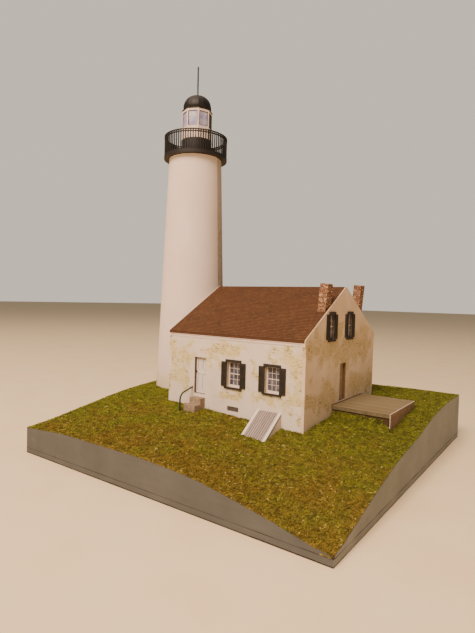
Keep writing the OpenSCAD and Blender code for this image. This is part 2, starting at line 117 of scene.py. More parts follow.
grey_paint, tree, shader, place, colour = card(
    "grey_emulsion_on_board", ["#4D4E4A", "#545551", "#5C5C58"], roughness=0.7, mottle=28,
    fibre=0.8)
streak_place = add(tree, "Mapping", {"Vector": place, "Scale": (60, 60, 1500)})
streaks = add(tree, "TexNoise", {"Vector": streak_place, "Scale": 1.0, "Detail": 3})
streaked = add(tree, "Mix", {0: 0.12, 6: colour, 7: streaks}, out=2, data_type="RGBA",
    blend_type="OVERLAY")
rubs = add(tree, "TexNoise", {"Vector": place, "Scale": 140, "Detail": 8, "Roughness": 0.7})
rubbed = add(tree, "MapRange", (rubs, 0.66, 0.74, 0, 0.4))
pale = add(tree, "Mix", {0: rubbed, 6: streaked, 7: linear("#7F786F")}, out=2, data_type="RGBA")
# Faces turned to +X are made up to 2.4 times lighter: painted light on the plinth's right side.
normal = add(tree, "NewGeometry", {}, out="Normal")
across = add(tree, "SeparateXYZ", (normal,), out="X")
painted_right_light = add(tree, "MapRange", (across, 0.4, 0.6, 1.0, 2.4))
right_lit_paint = add(tree, "VectorMath", {0: pale, "Scale": painted_right_light}, operation="SCALE")
feed(shader, {"Base Color": right_lit_paint})
dress(grey_paint, "base_board", "front_edge_strip", "right_edge_strip", "back_edge_strip",
    "left_edge_strip")


def piece(name, vertices, faces, material, tones=None, smooth=False):
    """A mesh of its own that stands on the model. tones are shades from 0 to 1, one a point."""
    mesh = bpy.data.meshes.new(name)
    mesh.from_pydata(vertices, [], faces)
    if tones is not None:
        mesh.attributes.new("tone", "FLOAT", "POINT").data.foreach_set("value", tones)
    if smooth:
        mesh.shade_smooth()
    mesh.materials.append(material)
    obj = bpy.data.objects.new(name, mesh)
    bpy.context.scene.collection.objects.link(obj)
    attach(obj, "root")
    return obj


# The strips don't meet the board tightly: a dark band of uneven height, painted shadow, marks
# the gap where glue failed, and a second band of painted shadow runs round the board's foot.
gap_shadow, *_ = card("painted_shadow_band", ["#14110E", "#2A241E"], mottle=3)
board_low, board_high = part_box("base_board")
CORNERS = [(board_low.x, board_low.y), (board_high.x, board_low.y),
    (board_high.x, board_high.y), (board_low.x, board_high.y)]


def round_line(name, foot, lows, highs, seed):
    """A band of painted shadow round the plinth from the height foot up. lows and highs bound how
    tall it is on the front, right, back and left, in mm."""
    draw = np.random.default_rng(seed)
    step = 4 * MM
    proud = 0.03 * MM
    points = []
    faces = []
    for k in range(4):
        ax, ay = CORNERS[k]
        bx, by = CORNERS[(k + 1) % 4]
        length = math.hypot(bx - ax, by - ay)
        out_x, out_y = (by - ay) / length, (ax - bx) / length
        steps = int(length / step)
        tall = np.convolve(draw.uniform(lows[k], highs[k], steps + 3), [0.25, 0.5, 0.25], "valid")
        for i in range(steps + 1):
            t = i / steps
            x = ax + (bx - ax) * t + out_x * proud
            y = ay + (by - ay) * t + out_y * proud
            points += [(x, y, foot), (x, y, foot + tall[i] * MM)]
            if i:
                n = len(points)
                faces.append((n - 4, n - 2, n - 1, n - 3))
    piece(name, points, faces, gap_shadow)


round_line("plinth_seam_shadow", board_high.z, (0.02, 0.02, 0.02, 0.02), (0.4, 0.66, 0.4, 0.4), 11)
round_line("board_foot_shadow", 0.02 * MM, (0.3, 0.05, 0.2, 0.2), (0.75, 0.5, 0.6, 0.6), 12)

# At the front right corner the two strips stop short of each other; the notch between them is a dark
# patch of painted shadow.
corner_x, corner_y, seam_z = board_high.x, board_low.y, board_high.z
NOTCH = [(-1.7, -0.04, 0.5), (0.04, -0.04, 0.2), (0.04, -0.04, 1.9), (-0.9, -0.04, 1.9),
    (0.04, 1.0, 0.4), (0.04, 0.7, 1.7)]
piece("corner_notch_shadow", [(corner_x + x * MM, corner_y + y * MM, seam_z + z * MM) for x, y, z in NOTCH],
    [(0, 1, 2, 3), (1, 4, 5, 2)], gap_shadow)

# ----------
# Turf: dyed crumbs of ground foam and short fibres, sifted on to wet glue over the landform.
# They are loose, matt and uneven, dark between the crumbs, with a few straw-coloured flecks.
turf_bed, *_ = card("glued_turf_bed", ["#564E14", "#665C1A", "#726820"], roughness=0.95,
    mottle=2.2, fibre=1.1, depth=0.3)
dress(turf_bed, "landform")

turf_foam, tree, shader, place = surface("dyed_ground_foam", 0.95)
tone = add(tree, "Attribute", {}, out="Fac", attribute_name="tone")
STAGES = (0.0, 0.3, 0.62, 0.86, 0.95, 1.0)
GREENS = ["#44480A", "#5E6210", "#727614", "#8C8C22", "#A29E34", "#C2BA70"]
OCHRES = ["#4A400A", "#675510", "#7A6716", "#907B26", "#A8923C", "#C6B474"]
green = add(tree, "ValToRGB", {"Fac": tone}, stops=zip(STAGES, GREENS))
ochre = add(tree, "ValToRGB", {"Fac": tone}, stops=zip(STAGES, OCHRES))
drift = add(tree, "TexNoise", {"Vector": place, "Scale": 55, "Detail": 4, "Roughness": 0.6})
along = add(tree, "SeparateXYZ", (place,), out="X")
depth = add(tree, "SeparateXYZ", (place,), out="Y")
forward = add(tree, "MapRange", (depth, 0.02, -0.11, -0.2, 0.24))
leftward = add(tree, "MapRange", (along, -0.02, -0.1, 0.0, -0.16))
sideways = add(tree, "Math", (forward, leftward), operation="ADD")
drifted = add(tree, "Math", (drift, sideways), operation="ADD")
patch = add(tree, "MapRange", (drifted, 0.44, 0.74))
dyed = add(tree, "Mix", {0: patch, 6: green, 7: ochre}, out=2, data_type="RGBA")
clumps = add(tree, "TexNoise", {"Vector": place, "Scale": 330, "Detail": 2})
clumped = add(tree, "MapRange", (clumps, 0.32, 0.6, 0.55, 1.14))
matted = add(tree, "VectorMath", (dyed, clumped), operation="MULTIPLY")
# The turf is made darker towards the right and back, down to 0.84: painted shade.
rightward = add(tree, "Math", (along, depth), operation="ADD")
right_shade_factor = add(tree, "MapRange", (rightward, 0.01, 0.07, 1.0, 0.84))
shaded_to_right = add(tree, "VectorMath", {0: matted, "Scale": right_shade_factor}, operation="SCALE")
feed(shader, {"Base Color": shaded_to_right})

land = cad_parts["landform"].data
land_tree = BVHTree.FromPolygons([v.co.copy() for v in land.vertices],
    [list(p.vertices) for p in land.polygons])
house_low, house_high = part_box("left_gable_wall")[0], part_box("right_gable_wall")[1]
wall_front, wall_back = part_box("front_wall")[0].y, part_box("back_wall")[1].y
tower_low, tower_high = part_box("tower_shaft")
tower_x, tower_y = (tower_low.x + tower_high.x) / 2, (tower_low.y + tower_high.y) / 2
tower_foot_r = (tower_high.x - tower_low.x) / 2
blocked = [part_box(n) for n in ("front_steps", "hatch_sides", "deck_skirt")]
ABOVE = 0.2


def ground(x, y):
    """The place on the landform's surface under a point above it, or None past its edge."""
    return land_tree.ray_cast((x, y, ABOVE), (0, 0, -1))[0]


def on_turf(x, y, room):
    """Whether a place is on open turf, with room to spare from what stands on it."""
    if house_low.x - room < x < house_high.x + room and wall_front - room < y < wall_back + room:
        return False
    if math.hypot(x - tower_x, y - tower_y) < tower_foot_r + room:
        return False
    return not any(a.x - room < x < b.x + room and a.y - room < y < b.y + room
        for a, b in blocked)


def turf_places(count, room, seed):
    """Places strewn over the landform where the turf is open."""
    draw = np.random.default_rng(seed)
    inset = 1.0 * MM
    xs = draw.uniform(board_low.x + inset, board_high.x - inset, count)
    ys = draw.uniform(board_low.y + inset, board_high.y - inset, count)
    found = []
    for x, y in zip(xs, ys):
        if on_turf(x, y, room):
            spot = ground(x, y)
            if spot:
                found.append(spot)
    return np.array(found)


def turns(draw, count, lie):
    """Random turns. lie is how flat the crumbs' long side lies, from 0 to 1."""
    spin = draw.uniform(0, 2 * np.pi, count)
    tip = draw.normal(0, 1, count) * (1 - lie)
    roll = draw.uniform(0, 2 * np.pi, count)
    whole = np.tile(np.eye(3), (count, 1, 1))
    for axis, angle in ((2, spin), (1, tip), (0, roll)):
        a, b = (axis + 1) % 3, (axis + 2) % 3
        one = np.tile(np.eye(3), (count, 1, 1))
        one[:, a, a] = one[:, b, b] = np.cos(angle)
        one[:, b, a] = np.sin(angle)
        one[:, a, b] = -one[:, b, a]
        whole = whole @ one
    return whole


def scatter(name, places, kind, size_low, size_high, lift, lie, seed, shades):
    """One joined mesh of crumbs, each a squashed and turned copy of a small shape."""
    shape, faces = kind
    draw = np.random.default_rng(seed)
    n = len(places)
    sizes = draw.uniform(size_low, size_high, (n, 3)) * MM
    worn = np.array(shape)[None] * draw.uniform(0.7, 1.25, (n, len(shape), 3))
    local = (worn * sizes[:, None]) @ turns(draw, n, lie).transpose(0, 2, 1)
    up = np.zeros((n, 1, 3))
    up[:, 0, 2] = draw.uniform(*lift, n) * MM
    points = (places[:, None] + local + up).reshape(-1, 3)
    base = (np.arange(n) * len(shape))[:, None, None]
    skin = (np.array(faces)[None] + base).reshape(-1, 3)
    tones = np.clip(draw.beta(*shades, n), 0, 0.93)
    tones[draw.random(n) < 0.012] = 1.0
    tones = np.repeat(tones, len(shape)) + draw.uniform(-0.05, 0.05, n * len(shape))
    return piece(name, points.tolist(), skin.tolist(), turf_foam,
        tones=np.clip(tones, 0, 1))


CRUMB = ([(1, 0, 0), (-1, 0, 0), (0, 1, 0), (0, -1, 0), (0, 0, 1), (0, 0, -1)],
    [(0, 2, 4), (2, 1, 4), (1, 3, 4), (3, 0, 4), (2, 0, 5), (1, 2, 5), (3, 1, 5), (0, 3, 5)])
FIBRE = ([(1, 0, 0), (-1, 0, 0), (0, 1, 0), (0, -0.5, 0.87), (0, -0.5, -0.87)],
    [(0, 2, 3), (0, 3, 4), (0, 4, 2), (1, 3, 2), (1, 4, 3), (1, 2, 4)])
for k in range(4):
    scatter(f"turf_crumbs_{k}", turf_places(25000, 0.3 * MM, 20 + k), CRUMB, (0.25, 0.22, 0.18),
        (0.85, 0.6, 0.46), (0.0, 0.5), 0.6, 30 + k, (5.5, 4.6))
scatter("turf_fibres", turf_places(34000, 0.5 * MM, 40), FIBRE, (0.6, 0.07, 0.07),
    (1.5, 0.18, 0.18), (0.2, 0.8), 0.75, 41, (5.0, 3.4))

# Scatter gathers at the foot of everything that stands on the turf.
FOOT_REACH = 2.6 * MM
gathered = [p for p in turf_places(60000, 0.25 * MM, 46) if not on_turf(p[0], p[1], FOOT_REACH)]
scatter("turf_at_walls", np.array(gathered), FIBRE, (0.7, 0.12, 0.12), (1.6, 0.3, 0.3),
    (0.1, 0.8), 0.35, 47, (2.2, 2.6))

# A few long straws lie across the rest, and a fringe of crumbs hangs over the strips' top edges.
straws = turf_places(1100, 1.5 * MM, 42)
scatter("turf_straws", straws, FIBRE, (1.2, 0.12, 0.12), (3.4, 0.24, 0.24), (0.6, 1.0), 0.92,
    43, (9.0, 1.2))
draw = np.random.default_rng(44)
fringe = []
for _ in range(9000):
    inset = draw.uniform(0.15, 1.6) * MM
    t = draw.uniform(-0.5, 0.5)
    side = draw.integers(4)
    half = (board_high.x if side % 2 else board_high.y) - inset
    run = 2 * (board_high.y if side % 2 else board_high.x) * t
    x, y = (half, run) if side % 2 else (run, half)
    x, y = (-x, -y) if side > 1 else (x, y)
    inner_x = min(max(x, board_low.x + MM), board_high.x - MM)
    inner_y = min(max(y, board_low.y + MM), board_high.y - MM)
    spot = ground(inner_x, inner_y)
    if spot:
        fringe.append((x, y, spot.z))
scatter("turf_fringe", np.array(fringe), CRUMB, (0.25, 0.22, 0.18), (0.6, 0.5, 0.42),
    (0.0, 0.35), 0.5, 45, (2.4, 2.4))

# Loose flecks of turf and dried glue cling to the strip at the plinth's front right corner.
draw = np.random.default_rng(51)
flecks = [(corner_x - draw.uniform(0.8, 5.5) * MM, corner_y - 0.15 * MM,
    seam_z + draw.uniform(0.2, 1.1) * MM) for _ in range(34)]
scatter("corner_flecks", np.array(flecks), CRUMB, (0.16, 0.1, 0.1), (0.55, 0.26, 0.3),
    (0.0, 0.1), 0.8, 52, (9.0, 0.5))

# ----------
# House walls: thick card faced with a print of old whitewashed plaster. The wash is warm white,
# gone cream where the lime has weathered off, with small dark pits and strokes in those places.
WASH = ["#DCCDBC", "#E2D4C3", "#E6DAC9"]
CREAM = ["#CCB878", "#D8C88C", "#E0D09E"]
WALL_FOOT = 30 * MM


def plaster(name, along, x, y, stains, shades=WASH, creams=CREAM, stroke="#6A6040"):
    """Weathered plaster print. along is the wall's level axis, and x and y are where it starts.
    stains are the middles, along and up the wall, and the reaches of the weathered places in
    mm."""
    origin = Vector((x, y, WALL_FOOT))
    material, tree, shader, place, colour = card(name, shades, mottle=16, fibre=0.6)
    broken = add(tree, "TexNoise", {"Vector": place, "Scale": 210, "Detail": 7, "Roughness": 0.68})
    wind = add(tree, "TexNoise", {"Vector": place, "Scale": 95, "Detail": 3}, out="Color")
    swing = add(tree, "VectorMath", (wind, (0.5, 0.5, 0.5)), operation="SUBTRACT")
    shift = add(tree, "VectorMath", (swing, (0.045, 0.045, 0.03)), operation="MULTIPLY")
    bent = add(tree, "VectorMath", (place, shift), operation="ADD")
    reach = None
    for s, up, size_s, size_up in stains:
        centre = origin + Vector((s, 0, up) if along == "X" else (0, s, up)) * MM
        apart = add(tree, "VectorMath", (bent, centre), operation="SUBTRACT")
        scale = (1 / size_s, 0, 1 / size_up) if along == "X" else (0, 1 / size_s, 1 / size_up)
        level = add(tree, "VectorMath", (apart, Vector(scale) / MM), operation="MULTIPLY")
        far = add(tree, "VectorMath", (level,), out="Value", operation="LENGTH")
        near = add(tree, "MapRange", (far, 1.35, 0.1))
        reach = near if reach is None else add(tree, "Math", (reach, near), operation="MAXIMUM")
    ragged = add(tree, "Math", (reach, broken), operation="MULTIPLY")
    worn = add(tree, "MapRange", (ragged, 0.1, 0.29))
    patchy = add(tree, "TexNoise", {"Vector": place, "Scale": 420, "Detail": 5})
    cream = add(tree, "ValToRGB", {"Fac": patchy}, stops=zip((0.35, 0.5, 0.68), creams))
    cover = add(tree, "Math", (worn, 0.9), operation="MULTIPLY")
    faded = add(tree, "Mix", {0: cover, 6: colour, 7: cream}, out=2, data_type="RGBA")
    squashed = add(tree, "Mapping", {"Vector": place, "Scale": (0.5, 0.5, 1.5),
        "Rotation": (0.5, 0.4, 0)})
    pits = add(tree, "TexNoise", {"Vector": squashed, "Scale": 900, "Detail": 3, "Distortion": 0.8})
    pitted = add(tree, "MapRange", (pits, 0.55, 0.6))
    herded = add(tree, "MapRange", (wind, 0.36, 0.56))
    for limit in (herded, worn, 0.8):
        pitted = add(tree, "Math", (pitted, limit), operation="MULTIPLY")
    marked = add(tree, "Mix", {0: pitted, 6: faded, 7: linear(stroke)}, out=2, data_type="RGBA")
    feed(shader, {"Base Color": marked})
    return material


FRONT_STAINS = [(3, 34, 9, 12), (8, 16, 9, 9), (16, 30, 6, 8), (37, 35, 8, 9), (52, 39, 14, 6),
    (95, 36, 11, 11), (71, 27, 4, 6), (55, 10, 8, 5), (76, 11, 12, 5), (97, 14, 9, 7),
    (100, 2, 5, 5), (80, 34, 5, 4), (43, 26, 4, 6), (102, 25, 4, 9)]
dress(plaster("whitewash_print_front", "X", house_low.x, wall_front, FRONT_STAINS), "front_wall")
dress(plaster("whitewash_print_back", "X", house_low.x, wall_back, FRONT_STAINS), "back_wall")
GABLE_STAINS = [(8, 42, 12, 9), (26, 40, 14, 10), (52, 36, 18, 10), (80, 40, 24, 11),
    (30, 12, 15, 9), (6, 14, 9, 8), (72, 14, 22, 10), (98, 12, 11, 12), (40, 52, 9, 7)]
TAN_WASH = ["#DABE9C", "#E2C8A8", "#E8D0B4"]
TAN_STAIN = ["#C6AA78", "#CEB484", "#D6BE92"]
dress(plaster("tanned_print_gable", "Y", house_high.x, wall_front, GABLE_STAINS, TAN_WASH,
    TAN_STAIN, "#8C7850"), "right_gable_wall")
dress(plaster("whitewash_print_left", "Y", house_low.x, wall_front, GABLE_STAINS),
    "left_gable_wall")

# Floors inside the house: plain grey-brown card, only glimpsed through a gap if at all.
plain_card, *_ = card("raw_grey_brown_card", ["#B0A088", "#BCAC94"], mottle=5)
dress(plain_card, "ground_floor", "attic_floor")

# ----------
# Roof: card scored into courses of wood shingles, each lapped on the course below. At this scale
# a shingle shows 1.6 mm of its length and is 1.2 to 2 mm wide; the stain is a dry red-brown.
roof_low, roof_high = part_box("front_roof")
roof_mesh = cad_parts["front_roof"].data
eave_top = max(v.co.z for v in roof_mesh.vertices if v.co.y < roof_low.y + 0.01 * MM)
ridge_y = roof_high.y
roof_pitch = math.atan2(roof_high.z - eave_top, ridge_y - roof_low.y)
slope_length = math.hypot(roof_high.z - eave_top, ridge_y - roof_low.y)
COURSE = 1.6 * MM
SHINGLE_T = 0.16 * MM

shingle_stain, tree, shader, place = surface("stained_wood_shingle", 0.88)
tone = add(tree, "Attribute", {}, out="Fac", attribute_name="tone")
wood = add(tree, "ValToRGB", {"Fac": tone}, stops=[(0.0, "#503018"), (0.35, "#5A381A"),
    (0.7, "#623F20"), (1.0, "#6E4A28")])
blotch = add(tree, "TexNoise", {"Vector": place, "Scale": 70, "Detail": 5})
sooty = add(tree, "MapRange", (blotch, 0.35, 0.7, 0.9, 1.06))
across = add(tree, "SeparateXYZ", (place,), out="Y")
from_ridge = add(tree, "Math", (across, ridge_y), operation="SUBTRACT")
run = add(tree, "Math", (from_ridge,), operation="ABSOLUTE")
to_eave = add(tree, "Math", (ridge_y - roof_low.y, run), operation="SUBTRACT")
up_slope = add(tree, "Math", (to_eave, 1 / (math.cos(roof_pitch) * COURSE)), operation="MULTIPLY")
in_course = add(tree, "Math", (up_slope,), operation="FRACT")
# Each course is darkened to 0.22 along one edge: painted shadow under the shingle butts. The
# blotches are soot.
butt_shadow = add(tree, "MapRange", (in_course, 0.0, 0.55, 0.22, 1.1))
soot_and_butt_shadow = add(tree, "Math", (butt_shadow, sooty), operation="MULTIPLY")
toned = add(tree, "VectorMath", (wood, soot_and_butt_shadow), operation="MULTIPLY")
grain_place = add(tree, "Mapping", {"Vector": place, "Scale": (1, 0.15, 0.15)})
grain = add(tree, "TexNoise", {"Vector": grain_place, "Scale": 4000, "Detail": 2})
normal = add(tree, "Bump", {"Height": grain, "Strength": 0.4, "Distance": 0.05 * MM})
feed(shader, {"Base Color": toned, "Normal": normal})
roof_card, *_ = card("red_brown_roof_card", ["#4A2E1A", "#5A3820"], mottle=4)


def blocks(name, items, material, bevel=0.0):
    """One joined mesh of small blocks. An item is a matrix for the block's middle and turn,
    its three sides in metres and, if it matters, its shade from 0 to 1."""
    signs = [(x, y, z) for x in (-0.5, 0.5) for y in (-0.5, 0.5) for z in (-0.5, 0.5)]
    sides = ((0, 1, 3, 2), (4, 6, 7, 5), (0, 4, 5, 1), (2, 3, 7, 6), (0, 2, 6, 4), (1, 5, 7, 3))
    points = []
    faces = []
    tones = []
    for matrix, size, *shade in items:
        n = len(points)
        points += [matrix @ Vector((size[0] * x, size[1] * y, size[2] * z)) for x, y, z in signs]
        faces += [[n + k for k in side] for side in sides]
        tones += (shade or [0.5]) * 8
    made = piece(name, points, faces, material, tones=tones)
    if bevel:
        edge = made.modifiers.new("worn edges", "BEVEL")
        edge.width = bevel
        edge.segments = 1
    return made


def at(x, y, z):
    """Matrix of a place."""
    return Matrix.Translation((x, y, z))


def spun(axis, angle):
    """Matrix of a turn about an axis."""
    return Matrix.Rotation(angle, 4, axis)


def shingle_roof(name, side):
    """Courses of shingles up one slope. side is 1 for the front slope and -1 for the back."""
    draw = np.random.default_rng(50 + side)
    laid = []
    full = COURSE * 1.15
    tilt = math.asin(SHINGLE_T / full)
    for c in range(int(slope_length / COURSE) + 1):
        start = c * COURSE
        length = min(full, slope_length - start)
        if length < 0.3 * MM:
            continue
        x = roof_low.x
        while x < roof_high.x - 0.05 * MM:
            wide = min(draw.uniform(1.2, 2.0) * MM, roof_high.x - x)
            down = start + length / 2 - slope_length
            matrix = (at(x + wide / 2, ridge_y, roof_high.z) @ spun("Z", 0 if side == 1 else math.pi)
                @ spun("X", roof_pitch) @ at(0, down, SHINGLE_T * 0.55) @ spun("X", -tilt))
            laid.append((matrix, (wide - 0.05 * MM, length, SHINGLE_T * 0.6), draw.beta(3, 3)))
            x += wide
    return blocks(name, laid, shingle_stain)


shingle_roof("front_shingles", 1)
shingle_roof("back_shingles", -1)
dress(roof_card, "front_roof", "back_roof")

# Cornices: white card folded into a small box under the eaves.
white_card, *_ = card("matt_white_card", ["#DCCCC0", "#E4D5CA", "#E8DAD0"], mottle=7)
dress(white_card, "front_cornice", "back_cornice")

# ----------
# Chimneys: small stacks folded from card with a brick print, 0.8 mm a course, under thin, pale
# and uneven mortar, and rough to the eye. They lean a little, as they were glued.
mortar_print, *_ = card("lime_mortar_print", ["#94785E", "#B89C80", "#D8C0A4"], mottle=1.2)
dress(mortar_print, "front_chimney", "back_chimney")
brick_print, tree, shader, place = surface("red_brick_print", 0.88)
tone = add(tree, "Attribute", {}, out="Fac", attribute_name="tone")
fired = add(tree, "ValToRGB", {"Fac": tone}, stops=[(0.0, "#562F1A"), (0.45, "#734527"),
    (0.8, "#865837"), (0.92, "#B08660"), (1.0, "#DCC4A2")])
smudge = add(tree, "TexNoise", {"Vector": place, "Scale": 1500, "Detail": 4})
sanded = add(tree, "MapRange", (smudge, 0.3, 0.7, 0.7, 1.15))
burnt = add(tree, "VectorMath", (fired, sanded), operation="MULTIPLY")
limed = add(tree, "MapRange", (smudge, 0.6, 0.66, 0, 0.9))
flecked = add(tree, "Mix", {0: limed, 6: burnt, 7: linear("#E6D6BE")}, out=2, data_type="RGBA")
gritty = add(tree, "Bump", {"Height": smudge, "Strength": 0.5, "Distance": 0.05 * MM})
feed(shader, {"Base Color": flecked, "Normal": gritty})

STACK = (5 * MM, 7 * MM)
STACK_LEAN = math.radians(5)
STACK_FROM_GABLE = 4.1 * MM
COURSE_H = 0.8 * MM
BRICK_L = 2.4 * MM
JOINT = 0.14 * MM


def brick_stack(name, node, above_ridge, seed):
    """Bricks in stretcher bond round one chimney."""
    draw = np.random.default_rng(seed)
    low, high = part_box(node)
    y = (low.y + high.y) / 2
    foot_z = roof_high.z - abs(y - ridge_y) * math.tan(roof_pitch)
    stack = at(house_high.x - STACK_FROM_GABLE, y, foot_z) @ spun("Y", STACK_LEAN)
    top = roof_high.z + above_ridge - foot_z
    laid = []
    for c in range(int((top + 4 * MM) / COURSE_H)):
        z = top - (c + 0.5) * COURSE_H
        for face in range(4):
            wide, deep = STACK if face % 2 == 0 else STACK[::-1]
            turn = spun("Z", face * math.pi / 2)
            start = -wide / 2 - (BRICK_L / 2 if (c + face) % 2 else 0)
            while start < wide / 2 - 0.1 * MM:
                a = max(start + JOINT / 2, -wide / 2)
                b = min(start + BRICK_L - JOINT / 2, wide / 2)
                if b - a > 0.2 * MM:
                    matrix = stack @ turn @ at((a + b) / 2, -deep / 2, z)
                    laid.append((matrix, (b - a, 0.12 * MM, COURSE_H - JOINT), draw.random()))
                start += BRICK_L
    return blocks(name, laid, brick_print)


brick_stack("front_chimney_bricks", "front_chimney", 1.2 * MM, 61)
brick_stack("back_chimney_bricks", "back_chimney", 2.2 * MM, 62)

# ----------
# Doors: white card leaves with four scored panels, a thin dark line of painted shadow round each
# panel, wider on the left and top, and a small dark knob. They are glued behind the wall card, whose
# cut edge lines the opening.
door_white, *_ = card("white_door_card", ["#E0D6CE", "#E8DFD8"], mottle=6)
tanned_white, *_ = card("tanned_door_card", ["#AC9272", "#B8A080"], mottle=6)
dress(door_white, "front_door")
dress(tanned_white, "gable_door")
panel_shadow_line, *_ = card("painted_panel_shadow_line", ["#85796E", "#9A8E82"], mottle=2)
DOOR_W = 9.4 * MM
DOOR_H = 23.6 * MM
LAP = 0.6 * MM
STILE = 1.3 * MM
PANELS = [(1.7 * MM, 10.8 * MM), (15.3 * MM, 6.9 * MM)]
REVEAL = 2.02 * MM
GABLE_TURN = spun("Z", math.pi / 2)
door_low, door_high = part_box("front_door")
side_low, side_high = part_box("gable_door")
door_hole = at((door_low.x + door_high.x) / 2, wall_front, door_high.z - LAP - DOOR_H)
side_hole = at(house_high.x, (side_low.y + side_high.y) / 2, side_high.z - LAP - DOOR_H) \
    @ GABLE_TURN
LEAVES = {"front_door": door_hole @ at(0, REVEAL, 0), "gable_door": side_hole @ at(0, REVEAL, 0)}
for name, matrix in LEAVES.items():
    lines = []
    panel_w = (DOOR_W - 3 * STILE) / 2
    for k in (0, 1):
        left = -DOOR_W / 2 + STILE + k * (panel_w + STILE)
        for up, tall in PANELS:
            for x, wide in ((left, 0.2 * MM), (left + panel_w, 0.12 * MM)):
                lines.append((matrix @ at(x, 0, up + tall / 2), (wide, 0.06 * MM, tall)))
            for z, thick in ((up, 0.12 * MM), (up + tall, 0.18 * MM)):
                lines.append((matrix @ at(left + panel_w / 2, 0, z), (panel_w, 0.06 * MM, thick)))
    blocks(name + "_lines", lines, panel_shadow_line)


def rings(name, points, sides, material):
    """A smooth skin over rings of points, closed at both ends."""
    faces = []
    for foot in range(0, len(points) - sides, sides):
        for s in range(sides):
            n = (s + 1) % sides
            faces.append((foot + s, foot + n, foot + sides + n, foot + sides + s))
    faces.append(tuple(range(sides))[::-1])
    faces.append(tuple(range(len(points) - sides, len(points))))
    return piece(name, points, faces, material, smooth=True)


def lathe(name, profile, matrix, material, sides, bulge=None):
    """A turned piece from radii and heights. bulge scales a radius by the angle."""
    points = []
    for r, z in profile:
        for s in range(sides):
            a = 2 * math.pi * s / sides
            k = bulge(a) if bulge else 1
            points.append(matrix @ Vector((r * k * math.cos(a), r * k * math.sin(a), z)))
    return rings(name, points, sides, material)


def paint(name, roughness, scale, detail, stops, **inputs):
    """Paint or print whose shade follows one noise, without a tooth."""
    material, tree, shader, place = surface(name, roughness, **inputs)
    noise = add(tree, "TexNoise", {"Vector": place, "Scale": scale, "Detail": detail})
    feed(shader, {"Base Color": add(tree, "ValToRGB", {"Fac": noise}, stops=stops)})
    return material, tree, shader, noise


dark_brass, *_ = paint("blackened_knob_paint", 0.45, 3000, 3, [(0.3, "#16120E"), (0.7, "#3A3026")])
KNOB = [(0.1, 0.0), (0.28, 0.05), (0.2, 0.3), (0.45, 0.5), (0.58, 0.72), (0.5, 0.95), (0.25, 1.08)]
KNOB_UP = 14.1 * MM
for name, matrix in LEAVES.items():
    seat = matrix @ at(-DOOR_W / 2 + STILE / 2, 0, KNOB_UP) @ spun("X", math.pi / 2)
    lathe(name + "_knob", [(r * MM, z * MM) for r, z in KNOB], seat, dark_brass, 16)


def linings(name, holes, wide, tall, material):
    """The cut card edge on both jambs, the head and the foot of each opening. A hole is the
    middle of its foot, on the wall's face."""
    skin = 0.08 * MM
    laid = []
    for matrix in holes:
        for side in (-1, 1):
            laid.append((matrix @ at(side * (wide - skin) / 2, REVEAL / 2, tall / 2),
                (skin, REVEAL - 0.04 * MM, tall)))
        for z in (skin / 2, tall - skin / 2):
            laid.append((matrix @ at(0, REVEAL / 2, z), (wide, REVEAL - 0.04 * MM, skin)))
    return blocks(name, laid, material)


# The door and attic window reveals are the cut card's brown, darkened further as painted shade
# inside the openings.
shaded_brown_edge, *_ = card("cut_card_edge_with_painted_shade", ["#5C5044", "#6E6052", "#7C6E5E"], mottle=2)
linings("front_door_reveal", [door_hole], DOOR_W, DOOR_H, shaded_brown_edge)
shaded_dark_edge, *_ = card("dark_cut_card_edge_with_painted_shade", ["#6E5434", "#806442"], mottle=2)
linings("gable_door_reveal", [side_hole], DOOR_W, DOOR_H, shaded_dark_edge)

# ----------
# Windows: a white card frame and printed sashes, six panes over six, with a thick meeting rail.
# The panes are a dark satin print; a lighter bloom across them stands for the sky.
dress(white_card, "front_window_frames", "back_window_frames", "attic_window_frames")
dark_panes, *_ = paint("satin_dark_pane_print", 0.28, 260, 2,
    [(0.3, "#34343E"), (0.5, "#4C4D5A"), (0.68, "#74767E")])
dress(dark_panes, "window_panes")
GLASS = 2.54 * MM
BORDER = 0.9 * MM
SASH_FOOT = 1.5 * MM
SASH_H = 13.6 * MM
BAR = 0.24 * MM


def sashes(name, places, wide, deep=GLASS):
    """Glazing bars of windows, three panes wide and four high. A place is the middle of a
    window's foot, on the wall's face, and the glass lies deep behind it."""
    bars = []
    inside_w = wide - 2 * BORDER
    for matrix in places:
        for k in (1, 2):
            x = inside_w * (k / 3 - 0.5)
            bars.append((matrix @ at(x, deep - 0.12 * MM, SASH_FOOT + SASH_H / 2),
                (BAR, 0.24 * MM, SASH_H)))
        for row in range(1, 4):
            z = SASH_FOOT + SASH_H * row / 4
            thick = 0.5 * MM if row == 2 else BAR
            proud = 0.36 * MM if row == 2 else 0.22 * MM
            bars.append((matrix @ at(0, deep - proud / 2, z), (inside_w, proud, thick)))
    return blocks(name, bars, white_card, bevel=0.04 * MM)


front_low, front_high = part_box("front_window_frames")
back_low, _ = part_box("back_window_frames")
attic_low, attic_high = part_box("attic_window_frames")
WINDOW_W = 10.2 * MM
ATTIC_W = 7 * MM
WINDOW_H = 16 * MM
window_xs = [front_low.x + LAP + WINDOW_W / 2, front_high.x - LAP - WINDOW_W / 2]
attic_ys = [attic_low.y + LAP + ATTIC_W / 2, attic_high.y - LAP - ATTIC_W / 2]
front_places = [at(x, wall_front, front_low.z + LAP) for x in window_xs]
back_places = [at(x, wall_back, back_low.z + LAP) @ spun("Z", math.pi) for x in window_xs]
attic_places = [at(house_high.x, y, attic_low.z + LAP) @ GABLE_TURN for y in attic_ys]
sashes("front_sash_bars", front_places, WINDOW_W)
sashes("back_sash_bars", back_places, WINDOW_W)
